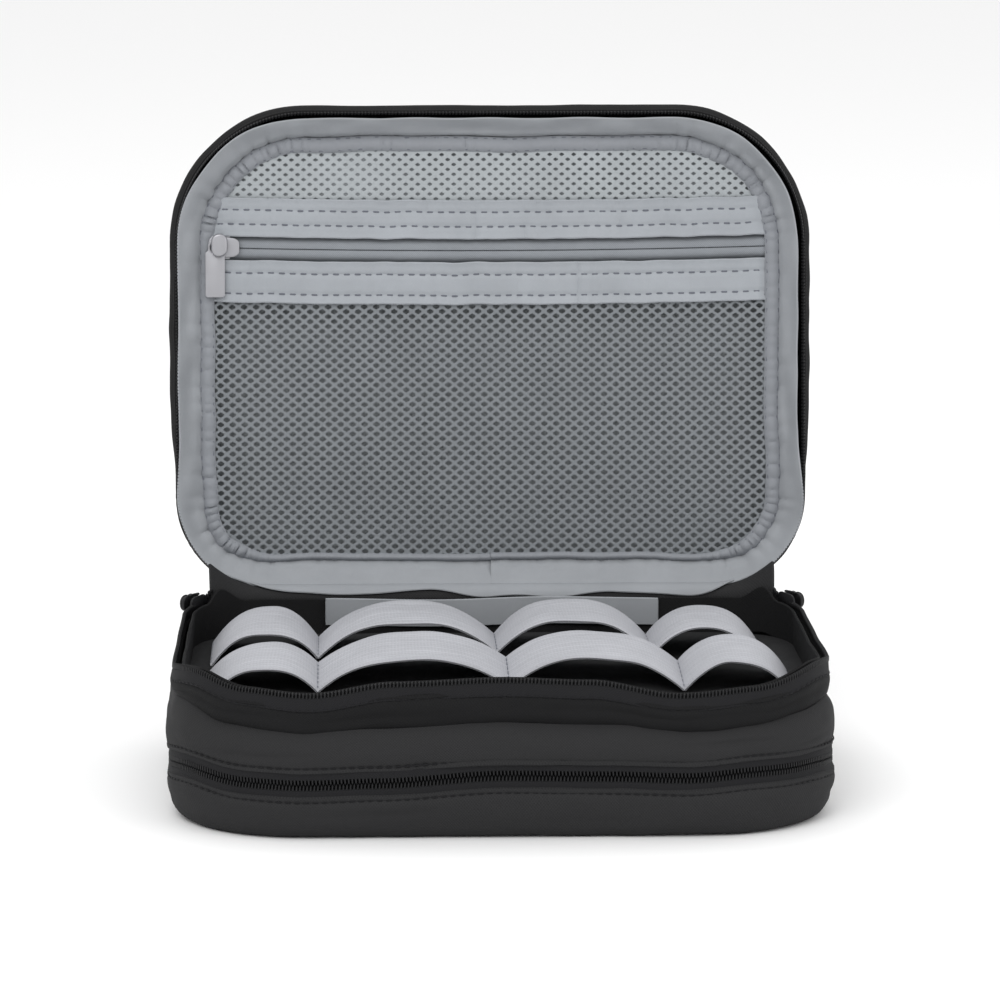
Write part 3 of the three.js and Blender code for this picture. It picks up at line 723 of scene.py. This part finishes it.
cushion = plate(divider_rise, 7.0, FLOOR_Z - 0.45, 0.9, folds=0.25, swell=1.3, held=at_loop_seam)
piece("divider_cushion", cushion, BLACK, "upper_tray", ["divider_top_cloth"])
ceiling = plate(lambda x, y, share: crown(x, y), 7.0, FLOOR_Z - 4.0, 0.8, folds=0.2)
piece("divider_ceiling", ceiling, BLACK_LINING, "upper_tray", ["divider_under_cloth"])

levels = np.linspace(45.5, 55.6, 9)
panel = [
    [(x, HALF_DEPTH - 7.6 + 0.5 * sin(x / 9), z + 0.5 * sin(x / 17)) for z in levels]
    for x in np.linspace(-64, 64, 60)
]
made = piece("spine_panel", Build().cloth(panel, 0.8), RING_GREY_PAINTED_SHADE, "upper_tray", ["spine_lining"])

# ---- Elastic loops ----
ELASTIC_THICKNESS = 1.3
LOOP_STEPS = (48, 45)  # along the arch, and across the strip
RIBS = 6.5
seam_thread = Build()
for row, (near, far, seams, peaks) in LOOP_ROWS.items():
    rear = row == "rear"
    for k, (near_peak, far_peak) in enumerate(peaks):
        left, right = seams[k] + 0.1, seams[k + 1] - 0.1
        lean = 0.8 * sin(2.3 * k + rear)
        grid = []
        for u in np.linspace(0, 1, LOOP_STEPS[0]):
            x = left + (right - left) * u
            column = []
            for v in np.linspace(0, 1, LOOP_STEPS[1]):
                y = near + (far - near) * v
                base = FLOOR_Z + ELASTIC_THICKNESS + crown(x, y)
                peak = near_peak + (far_peak - near_peak) * v
                rise = peak - ELASTIC_THICKNESS - FLOOR_Z - crown((left + right) / 2, y)
                arch = 1 - abs(2 * u - 1) ** 2.5
                slack = 0.8 * drift(x / 16, y / 13, k + 2.5 * rear) * arch
                sway = (0.9 * sin(3.1 * u + 1.7 * k + rear) + lean * (v - 0.5)) * arch
                rib = 0.16 * cos(2 * pi * RIBS * v)
                column.append((x + 1.6 * sway * (v - 0.5), y + 1.5 * sway, base + rise * arch + slack + rib))
            grid.append(column)
        name = f"elastic_loop_{row}_{k + 1}"
        cloth = Build().cloth(grid, ELASTIC_THICKNESS)
        band = piece(f"{name}_band", cloth, ELASTIC, "upper_tray", [name])
        middle_line = np.array(grid)[:, LOOP_STEPS[1] // 2]
        length = np.linalg.norm(np.diff(middle_line, axis=0), axis=1).sum()
    for x in seams:
        line = [(x, y, FLOOR_Z + 2.1 + crown(x, y)) for y in np.linspace(near + 1, far - 1, 40)]
        seam_thread.stitches(line, pitch=2.6)
piece("elastic_stitches", seam_thread, GREY_THREAD, "upper_tray", slot="grey_elastic")

# ---- Lid shell ----
LID_BULGE = [(0, 0), (146, 0), (180, 1), (611, 1), (645, 0), (791, 0)]


def lid_side_point(s, inset, depth):
    return lid_point(s, inset - 2.0 * eased(s, LID_BULGE) * bell(depth - 11, 4.5), depth)


def lining_rise(x, y, share):
    """The lining lies close behind the upper mesh, and deeper further down."""
    return -7.9 * (1 - share**24) * np.clip((-y - 125) / 25, 0, 1)


side = wall(
    Build(), lid_side_point, LID,
    [(1.9, 5.0), (1.6, 5.6), (2.1, 6.4), (1.8, 8), (1.6, 12), (2.3, 16.5), (4.3, 20.0), (7.8, 21.6)],
    1.6, 24, folds=0.45, seed=7.0,
)
piece("lid_side", side, UPPER_BLACK_PAINTED_SHADE, "lid", ["lid_wall"])
welt = Build().welt([lid_point(s, 8.0, 22.2) for s in LID.stations("all", 3)], 1.25)
piece("lid_welt", welt, BLACK_TAPE, "lid")
back = plate(dome(0.4), 8.6, 21.8, 1.6, LID, LID_PLACE, folds=0.35, size=40, swell=2.6)
piece("lid_back", back, BLACK, "lid", ["lid_outer_panel"])
inner = plate(lining_rise, 6.8, 18.6, 0.8, LID, LID_PLACE, folds=0.15, size=40)
piece("lid_inside", inner, DEEP_GREY, "lid", ["lid_lining"])
zip_half("main_zip_lid", lid_point, LID, 0, 1, "lid")
edge_stitches("main_zip_lid", lid_point, LID, 1.15, 6.3, "lid")

# ---- Hinge cloths ----
HINGE_THICKNESS = 1.2
lower_grid = [
    [tray_point(s, TAPE_INSET + 0.8 * bell(z - LOWER_ZIP_Z, 1.6), z) for z in np.linspace(13.6, 26.4, 15)]
    for s in TRAY.stations("rear")
]
lower_nodes = ["lower_hinge_gusset_bottom", "lower_hinge_gusset_top", "lower_spine"]
cloth = Build().cloth(lower_grid, HINGE_THICKNESS)
lower_hinge = piece("lower_hinge_cloth", cloth, BLACK, None, lower_nodes)
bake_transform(lower_hinge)


def lid_hinge_grid(stations, inset, low, high, rows):
    """Drawn closed, then turned open: each row follows the lid by its own share. Heights are from the
    hinge."""
    grid = []
    for s in stations:
        x, y, nx, ny = TRAY.at(s)
        row = []
        for z in np.linspace(low(s), high, rows):
            share = np.clip((z + HINGE_HALF) / (2 * HINGE_HALF), 0, 1)
            share = share * share * (3 - 2 * share)
            depth = inset + eased(s, RIM_LEAN) * (1 - share)
            lift = eased(s, RIM_LIFT) * (1 - share)
            turn = Matrix.Rotation(-LID_OPEN * share, 4, "X")
            p = turn @ Vector((x - nx * depth, y - ny * depth - HINGE_Y, z + lift))
            row.append((p.x, p.y + HINGE_Y, p.z + RIM_Z))
        grid.append(row)
    return grid


def grey_end(s):
    """The lower end of the grey lining over the hinge: uneven, and drawn up towards the corners."""
    along = np.clip((abs(s) - 76) / 26, 0, 1)
    return -0.9 + 1.4 * drift(s / 24, 0.4, 1.7) + 4.5 * along * along


hinge_grid = lid_hinge_grid(TRAY.stations("rear"), 2.0, lambda s: -6.2, 6.2, 19)
hinge_nodes = ["hinge_gusset_base", "hinge_gusset_lid", "lid_spine"]
cloth = Build().cloth(hinge_grid, HINGE_THICKNESS)
lid_hinge = piece("lid_hinge_cloth", cloth, BLACK, None, hinge_nodes)
lining_grid = lid_hinge_grid(np.linspace(-101, 101, 90), 3.4, grey_end, 8.0, 16)
hinge_lining = piece("hinge_lining", Build().cloth(lining_grid, 0.7), RING_GREY_PAINTED_SHADE, None)
for cloth in (lid_hinge, hinge_lining):
    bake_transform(cloth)

# ---- Lining ring and pocket frame ----
POCKET_INSET = [
    (0, 13.2), (78, 13.2), (118, 10.8), (144.7, 11), (243, 11), (324, 11.5), (466, 11.5), (548, 11),
    (646, 11), (672, 10.8), (712, 13.2), (791, 13.2),
]
BINDING_WIDTH = [(0, 1.8), (78, 1.8), (118, 5), (672, 5), (712, 1.8), (791, 1.8)]
# The lining stops short of the rim, and over the hinge it meets the hinge's own lining.
RING_EDGE = [
    (0, 3.1), (90, 3.1), (98, 3.6), (116, 2.1), (146, 1.9), (166, 2.4), (243, 2.4), (300, 3.6), (330, 4.1),
    (460, 4.1), (548, 4.3), (625, 4.3), (648, 1.9), (675, 2.1), (693, 3.6), (701, 3.1), (791, 3.1),
]
# How far the lining dips beside the pocket's binding.
VALLEY = [
    (0, 1.6), (90, 1.4), (120, 0.7), (240, 0.6), (300, 2.0), (330, 3.0), (461, 3.0), (491, 2.0),
    (551, 0.6), (671, 0.7), (701, 1.4), (791, 1.6),
]
# How strongly the cloth is gathered: most at the corners.
GATHERS = [
    (0, 0.12), (85, 0.3), (108, 1), (150, 0.35), (240, 0.2), (262, 1), (305, 1), (335, 0.2), (455, 0.2),
    (485, 1), (530, 1), (552, 0.2), (640, 0.35), (682, 1), (706, 0.3), (791, 0.12),
]


def pleats(s, wavelength, seed):
    """Uneven pleats along a gathered edge: round ridges with sharp valleys between them, about -1 to 1."""
    phase = s / wavelength + 0.9 * drift(s / (2.2 * wavelength), seed, 0)
    size = 0.65 + 0.8 * drift(s / (1.7 * wavelength), seed, 5)
    return size * (1.7 * abs(sin(pi * phase)) ** 0.6 - 1.05)


def pocket_edge(s):
    """The inset of the pocket's edge, which is drawn in and out by its gathers."""
    wander = 1.2 * drift(s / 26, 6.1, 0)
    return eased(s, POCKET_INSET) + wander + 0.4 * eased(s, GATHERS) * pleats(s, 9.0, 9.0)


ring_grid = []
for s in LID.stations("all", 1.3):
    edge, pocket, gather, valley = eased(s, RING_EDGE), pocket_edge(s), eased(s, GATHERS), eased(s, VALLEY)
    edge += 0.7 * drift(s / 22, 0.2, 8.0)
    row = []
    for t in np.linspace(0, 1, 19):
        inset = edge + (pocket + 0.3 - edge) * t
        sunk = (edge - 1.9) * 0.35
        depth = 0.2 + sunk + (9.2 - sunk) * t**1.1
        depth += 1.5 * sin(pi * t) * (0.3 + 1.5 * drift(s / 17, 2.2, t))
        depth -= (0.4 + 1.9 * gather) * pleats(s, 8.5, 1.0) * t**0.7 * (0.4 + 0.6 * t)
        row.append(lid_point(s, inset, min(depth, 9.6) + valley * np.clip((t - 0.7) / 0.2, 0, 1)))
    ring_grid.append(row)
ring = Build().cloth(ring_grid, 0.8, closed=True)
piece("lid_lining_frame", ring, RING_GREY_PAINTED_SHADE, "lid", ["lid_lining_ring"])

binding_grid, rows_of_thread = [], ([], [])
for s in LID.stations("all", 1.1):
    pocket, width = pocket_edge(s), eased(s, BINDING_WIDTH)
    ridge = (0.4 + 0.9 * eased(s, GATHERS)) * pleats(s, 4.6, 4.0)
    row = []
    for t in np.linspace(0, 1, 13):
        swell = sin(pi * t)
        depth = 9.5 - 1.45 * swell**0.8 - ridge * swell**0.6
        row.append(lid_point(s, pocket - 0.2 + (width + 0.2) * t, depth))
    binding_grid.append(row)
    rows_of_thread[0].append(lid_point(s, pocket + 0.25, 8.75))
    rows_of_thread[1].append(lid_point(s, pocket + width - 0.5, 8.75))
piece("pocket_frame", Build().cloth(binding_grid, 0.9, closed=True), BINDING_GREY_PAINTED_SHADE, "lid", ["pocket_binding"])
thread = Build()
for line in rows_of_thread:
    thread.stitches(line, pitch=3.8, radius=0.4, share=0.62)
piece("pocket_frame_stitches", thread, GREY_THREAD, "lid")

# ---- Pocket front ----
# Heights are above the hinge line.
POCKET_ZIP = 134.4
POCKET_HALF = 112
POCKET_BOTTOM, POCKET_TOP = 10, 176.5
TOP_RADIUS, BOTTOM_RADIUS = 41, 28
NET_ACROSS, NET_UP = 4.65, 3.8  # pitch of the cells
NET_EDGE, NET_EYE = 0.28, 0.2  # half the thread's thickness between cells and at the eye


def half_at(height, inset):
    """Half the width of the pocket's opening at a height."""
    top, bottom = POCKET_TOP - inset, POCKET_BOTTOM + inset
    big, small = TOP_RADIUS - inset, BOTTOM_RADIUS - inset
    half = POCKET_HALF - inset
    if height > top - big:
        return half - big + sqrt(max(big**2 - (height - top + big) ** 2, 0))
    if height < bottom + small:
        return half - small + sqrt(max(small**2 - (bottom + small - height) ** 2, 0))
    return half


def sag(x):
    return -1.6 * (1 - (x / POCKET_HALF) ** 2)


def net_level(x, height):
    return 9.7 + 0.5 * drift(x / 38, height / 30, 3.0)


def net(low, high, hole):
    """A knitted net: six-sided cells on a staggered lattice, each with an eye whose size is hole."""
    corner = [(NET_ACROSS / 2, NET_UP / 6), (0, NET_UP / 3 * 1.02), (-NET_ACROSS / 2, NET_UP / 6)]
    corner += [(-x, -y) for x, y in corner]
    turns = [atan2(y * 1.25, x) for x, y in corner]
    eye = [(1.5 * hole * cos(turn), 1.21 * hole * sin(turn)) for turn in turns]
    points, faces, index = [], [], {}

    def vertex(x, h, shift):
        key = (round(x, 2), round(h, 2), shift)
        if key not in index:
            index[key] = len(points)
            points.append(from_lid(x, h, net_level(x, h) + shift))
        return index[key]

    for r in range(int((high - low) / (NET_UP / 2)) + 2):
        h = low + r * NET_UP / 2
        cells = int(half_at(h, 1.6) / NET_ACROSS)
        for c in range(-cells - 1, cells + 2):
            x = (c + 0.5 * (r % 2)) * NET_ACROSS
            if not low + 1 <= h <= high - 1 or any(abs(x + dx) > half_at(h + dy, 1.2) for dx, dy in corner):
                continue
            outer, inner = ([(x + dx, h + dy) for dx, dy in shape] for shape in (corner, eye))
            for k in range(6):
                n = (k + 1) % 6
                strand = [(outer[k], NET_EDGE), (outer[n], NET_EDGE)]
                strand += [(inner[n], NET_EYE), (inner[k], NET_EYE)]
                front = [vertex(*p, -half) for p, half in strand]
                rear = [vertex(*p, half) for p, half in strand]
                faces += [front, rear[::-1], (front[3], front[2], rear[2], rear[3])]
    return Build().add(points, faces)


# The lower and upper edge of each net, the size of its eyes and its look.
NETS = {"lower": (10.5, 116.5, 0.88, NET), "upper": (151.0, 176.5, 0.6, PALE_NET)}
for name, (low, high, hole, look) in NETS.items():
    made = piece(f"net_{name}", net(low, high, hole), look, "lid", [f"mesh_{name}"], sharp=60)


def facing_point(x, h, low, high, rows, over=0.0):
    """A point of a folded strip with rows of stitching that draw it in. over is how far it lies in front of
    the strip's middle."""
    groove = sum(bell(h - row, 0.75) for row in rows)
    pucker = -0.5 * pleats(x, 6.6, low / 10) * (1 - groove * 0.4)
    tuck = 1.4 * np.clip((abs(x) - 104.3) / 2.5, 0, 1)
    roll = 0.45 * (bell(h - low, 0.9) + bell(h - high, 0.9))
    depth = 8.75 + 0.5 * groove + pucker - roll + 0.35 * drift(x / 19, h / 9, low) + tuck
    return from_lid(x, h + sag(x) + 0.4 * drift(x / 9, 2.0, low), depth - over)


def facing(low, high, rows):
    """A facing strip of the pocket's zip, between two heights, with its rows of stitching."""
    grid = []
    for u in np.linspace(-1, 1, 170):
        heights = np.linspace(low, high, 19)
        grid.append([facing_point(u * half_at(h, 3.2), h, low, high, rows) for h in heights])
    return Build().cloth(grid, 0.85)


FACINGS = {"upper": (139.2, 153.6, (149.3, 143.7)), "lower": (113.8, 129.6, (125.0, 117.0))}
thread = Build()
for name, (low, high, rows) in FACINGS.items():
    piece(f"facing_{name}", facing(low, high, rows), GREY, "lid", [f"zip_facing_{name}"])
    for row in rows:
        half = half_at(row, 5.4)
        line = [facing_point(x, row, low, high, rows, 0.5) for x in np.linspace(-half, half, 220)]
        thread.stitches(line, pitch=4.2, radius=0.38, share=0.62)
piece("facing_stitches", thread, GREY_THREAD, "lid")

ZIP_HALF_WIDTH = 108.3
# The tape from the chain outwards: distance and lift. It dips under the facing.
TAPE_PROFILE = [
    (0.38, 0), (1.0, 0.14), (1.7, 0.16), (2.3, 0.02), (2.8, -0.2), (3.6, -0.9), (4.6, -2.1), (7.8, -2.2),
]
for name, sign in (("upper", 1), ("lower", -1)):
    tape = [
        [from_lid(x, POCKET_ZIP + sign * d + sag(x), 10.1 - lift) for d, lift in TAPE_PROFILE]
        for x in np.linspace(-ZIP_HALF_WIDTH, ZIP_HALF_WIDTH, 100)
    ]
    cad = f"pocket_zip_{name}"
    piece(f"{cad}_band", Build().cloth(tape, 0.6), GREY_TAPE, "lid", [f"{cad}_tape"])
    teeth = Build()
    for k in range(int(2 * ZIP_HALF_WIDTH / POCKET_TOOTH_PITCH)):
        x = -ZIP_HALF_WIDTH + (k + (0.25 if sign > 0 else 0.75)) * POCKET_TOOTH_PITCH
        height = POCKET_ZIP + sag(x)
        low, high = from_lid(x, height + sign * 2.1, 10.6), from_lid(x + 0.2, height - sign * 0.3, 10.6)
        teeth.pill(low, high, 0.48, flat=0.72, side=(1, 0, 0))
    piece(f"{cad}_teeth", teeth, GREY_COIL, "lid", [f"{cad}_coil"])

# ---- Sliders and pulls ----
# Drawn as in the CAD: the zip along X, its chain at z = 0 and +Z away from the pouch.
CORNER_STEPS = 5


def rounded(width, length, radius, centre=(0, 0), taper=0.0):
    """A rectangle with round corners. taper narrows its +X end."""
    points = []
    for quarter, (sx, sy) in enumerate([(1, 1), (-1, 1), (-1, -1), (1, -1)]):
        for k in range(CORNER_STEPS + 1):
            a = radians(90 * (quarter + k / CORNER_STEPS))
            x = sx * (width / 2 - radius) + radius * cos(a)
            y = sy * (length / 2 - radius) + radius * sin(a)
            points.append((centre[0] + x, centre[1] + y * (1 - taper * (x / width + 0.5))))
    return points


def slider_build(place, length, width, crown_length, post):
    """Two plates with a wall between them, flanges at their edges, and a post with a crown over it that
    holds the tab. post is where the post stands along the zip."""
    build = Build()
    turn = -1 if post > 0 else 1
    nose = [(turn * x, turn * y) for x, y in rounded(length, width, 2.6, taper=0.22)]
    build.block(place, nose, 1.35, 2.6, 0.45)
    build.block(place, nose, -2.3, -1.4, 0.3)
    build.block(place, rounded(3.0, 0.7, 0.3), -1.5, 1.5, 0.1)
    for edge in (-1, 1):
        flange = rounded(length * 0.62, 0.9, 0.4, centre=(0.4 * post, edge * (width / 2 - 0.5)))
        build.block(place, flange, 0.5, 1.5, 0.15)
    build.block(place, rounded(2.8, 2.8, 1.35, centre=(post, 0)), 2.4, 4.7, 0.1)
    crown = rounded(6.4, crown_length, 3.0, centre=(post * 0.5, crown_length / 2 - 3.6))
    build.block(place, crown, 4.35, 6.1, 0.9, segments=4)
    return build


def pull_build(place, post, length):
    """The tab, with a narrower neck round the slider's post."""
    at_post = place @ Matrix.Translation((post, 0, 0))
    neck, shoulder, end, half = 2.7, -1.6, 3.2 - length, 3.8
    side = [(neck * sin(a), 3.2 - neck + neck * cos(a)) for a in np.linspace(0.1, pi / 2, 7)]
    side += [(neck, shoulder + 0.6), (half - 0.6, shoulder), (half, shoulder - 0.6)]
    side += [(half, end + 0.7), (half - 0.7, end)]
    tab = [(-x, y) for x, y in side] + side[::-1]
    return Build().holed(at_post, tab, rounded(3.8, 3.8, 1.85), 2.98, 4.22, 0.3)


def basis(x_axis, y_axis, z_axis, position):
    made = Matrix((x_axis, y_axis, z_axis)).transposed().to_4x4()
    return Matrix.Translation(position) @ made


def corner_place(side, z):
    """A slider of an outer zip, parked just past the zip's end on a rear corner."""
    angle = radians(ZIP_END + 15)
    outward = Vector((side * sin(angle), cos(angle), 0))
    s = HALF_WIDTH - REAR_RADIUS + REAR_RADIUS * angle
    x, y, nx, ny = TRAY.at(s if side < 0 else TRAY.length - s)
    on_chain = (x - nx * CHAIN_INSET, y - ny * CHAIN_INSET, z)
    up = Vector((0, 0, 1))
    return basis(up.cross(outward), up, outward, on_chain)


# Length and width of a slider, length of its crown, and length of its tab.
OUTER_SIZE, POCKET_SIZE = (10, 7.4, 6.4, 19), (12, 9, 9.0, 22.5)
POST_INSET = 2.6
on_pocket = LID_PLACE @ basis((1, 0, 0), (0, -1, 0), (0, 0, -1), (-103, -POCKET_ZIP, 9.8))
SLIDERS = [
    ("main_zip_left", corner_place(-1, RIM_Z), OUTER_SIZE, -1, BLACK_METAL),
    ("main_zip_right", corner_place(1, RIM_Z), OUTER_SIZE, 1, BLACK_METAL),
    ("lower_zip", corner_place(1, LOWER_ZIP_Z), OUTER_SIZE, 1, BLACK_METAL),
    ("pocket_zip", on_pocket, POCKET_SIZE, -1, SILVER),
]
for name, place, (length, width, crown_length, tab_length), end, metal in SLIDERS:
    post = end * (length / 2 - POST_INSET)
    runner = slider_build(place, length, width, crown_length, post)
    piece(f"{name}_runner", runner, metal, f"{name}_slider", [f"{name}_slider"], sharp=35)
    tab = pull_build(place, post, tab_length)
    piece(f"{name}_tab", tab, metal, f"{name}_pull", [f"{name}_pull"], sharp=35)

# ---- CAD nodes that stay: the foam inside ----
for name in ("bottom_foam", "divider_foam", "lid_foam"):
    materials = frame["nodes"][name].data.materials
    materials.clear()
    materials.append(FOAM)

# ---- Stage ----
FLOOR_HALF = 6  # metres
floor_mesh = bpy.data.meshes.new("floor")
corners = [(FLOOR_HALF * x, FLOOR_HALF * y, 0) for x, y in ((-1, -1), (1, -1), (1, 1), (-1, 1))]
floor_mesh.from_pydata(corners, [], [(0, 1, 2, 3)])
floor = placed("floor", floor_mesh)
pale = bpy.data.materials.new("pale_floor")
pale.use_nodes = True
pale_bsdf = pale.node_tree.nodes["Principled BSDF"]
pale_bsdf.inputs["Base Color"].default_value = (0.93, 0.93, 0.93, 1)
pale_bsdf.inputs["Roughness"].default_value = 0.9
floor_mesh.materials.append(pale)
floor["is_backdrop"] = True


def aimed(obj, position, target):
    obj.location = position
    obj.rotation_euler = (Vector(target) - Vector(position)).to_track_quat("-Z", "Y").to_euler()


def area_light(name, position, target, size, power):
    data = bpy.data.lights.new(name, "AREA")
    data.shape = "SQUARE"
    data.size = size
    data.energy = power
    aimed(placed(name, data), position, target)


area_light("key", (-0.7, -1.5, 1.7), (0, 0, 0.1), 1.2, 16)
area_light("fill", (1.6, -1.4, 0.9), (0, 0, 0.1), 1.4, 6.5)
area_light("top", (0.1, 0.5, 2.0), (0, 0, 0), 1.6, 9)
world = bpy.data.worlds.new("studio")
world.use_nodes = True
background = world.node_tree.nodes["Background"]
background.inputs["Color"].default_value = (1, 1, 1, 1)
background.inputs["Strength"].default_value = 0.95
bpy.context.scene.world = world
bpy.context.scene.view_settings.view_transform = "Standard"

camera_data = bpy.data.cameras.new("camera")
camera_data.lens = 223.2
camera_data.sensor_width = 36
camera = placed("camera", camera_data)
aimed(camera, (-0.0594, -2.269, 0.484), (0.0008, 0, 0.1085))
bpy.context.scene.camera = camera

low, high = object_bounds()
